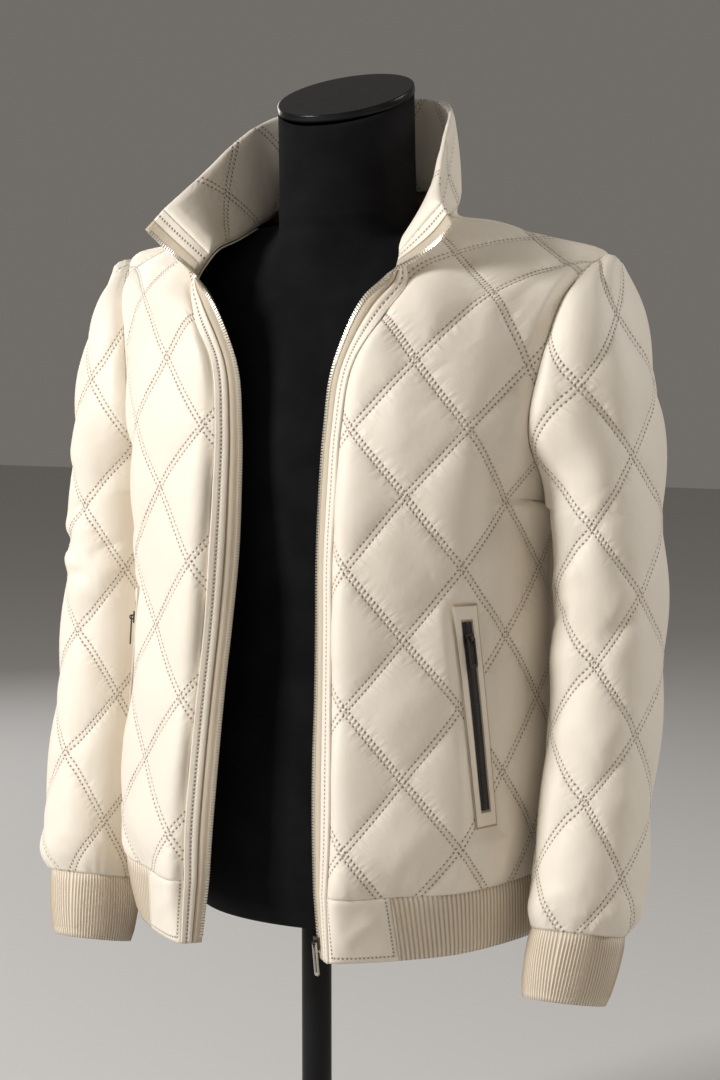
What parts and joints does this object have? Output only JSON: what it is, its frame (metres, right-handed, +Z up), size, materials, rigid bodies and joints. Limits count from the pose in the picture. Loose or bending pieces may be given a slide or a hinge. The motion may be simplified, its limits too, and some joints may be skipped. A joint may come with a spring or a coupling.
{
  "type": "quilted jacket on dress form with pole stand",
  "caption": "Cream quilted leather zip jacket with stand collar, rib hem and cuffs and zip pockets, worn open on a black form with a pole stand.",
  "frame": {"origin": "centre of the base plate's underside, on the pole's axis", "axes": "+Z up, -Y out of the open front, +X to the wearer's left"},
  "size_m": [0.575, 0.3328, 1.0417],
  "materials": {
    "leather": "soft matte ivory",
    "rib_knit": "ribbed knit",
    "zip_tape": "woven tape with pale teeth",
    "brown_lining": "woven",
    "black_zip": "woven tape with black teeth",
    "black_metal": "satin",
    "steel": "polished",
    "form_cloth": "matte black jersey",
    "black_gloss": "gloss",
    "black_paint": "satin black"
  },
  "bodies": {
    "jacket": {"back": "leather", "collar": "leather", "front_left": "leather", "sleeve_left": "leather", "placket_left": "leather", "zip_tape_left": "zip_tape", "hem_tab_left": "leather", "cuff_left": "rib_knit", "facing_left": "brown_lining", "pocket_welt_left": "leather", "pocket_zip_left": "black_zip", "pocket_slider_left": "black_metal", "front_right": "leather", "sleeve_right": "leather", "placket_right": "leather", "zip_tape_right": "zip_tape", "hem_tab_right": "leather", "cuff_right": "rib_knit", "facing_right": "leather", "pocket_welt_right": "leather", "pocket_zip_right": "black_zip", "pocket_slider_right": "black_metal", "hem_band": "rib_knit", "main_slider": "black_metal", "dress_form": "form_cloth", "neck_cap": "black_gloss", "pole": "black_paint", "base_plate": "black_paint"},
    "main_pull": {"main_pull": "steel"},
    "pocket_pull_left": {"pocket_pull_left": "steel"},
    "pocket_pull_right": {"pocket_pull_right": "steel"}
  },
  "joints": [
    {"name": "main_pull_swing", "type": "hinge", "parent": "jacket", "child": "main_pull", "pos_m": [0.05159, -0.10502, 0.31672], "axis": [-0.7874, 0.6065, -0.11], "range_deg": [0, 120]},
    {"name": "pocket_pull_left_swing", "type": "hinge", "parent": "jacket", "child": "pocket_pull_left", "pos_m": [0.16143, -0.03857, 0.56634], "axis": [-0.5089, -0.8558, -0.0926], "range_deg": [0, 120]},
    {"name": "pocket_pull_right_swing", "type": "hinge", "parent": "jacket", "child": "pocket_pull_right", "pos_m": [-0.16143, -0.03857, 0.56634], "axis": [-0.5089, 0.8558, 0.0926], "range_deg": [0, 120]}
  ]
}
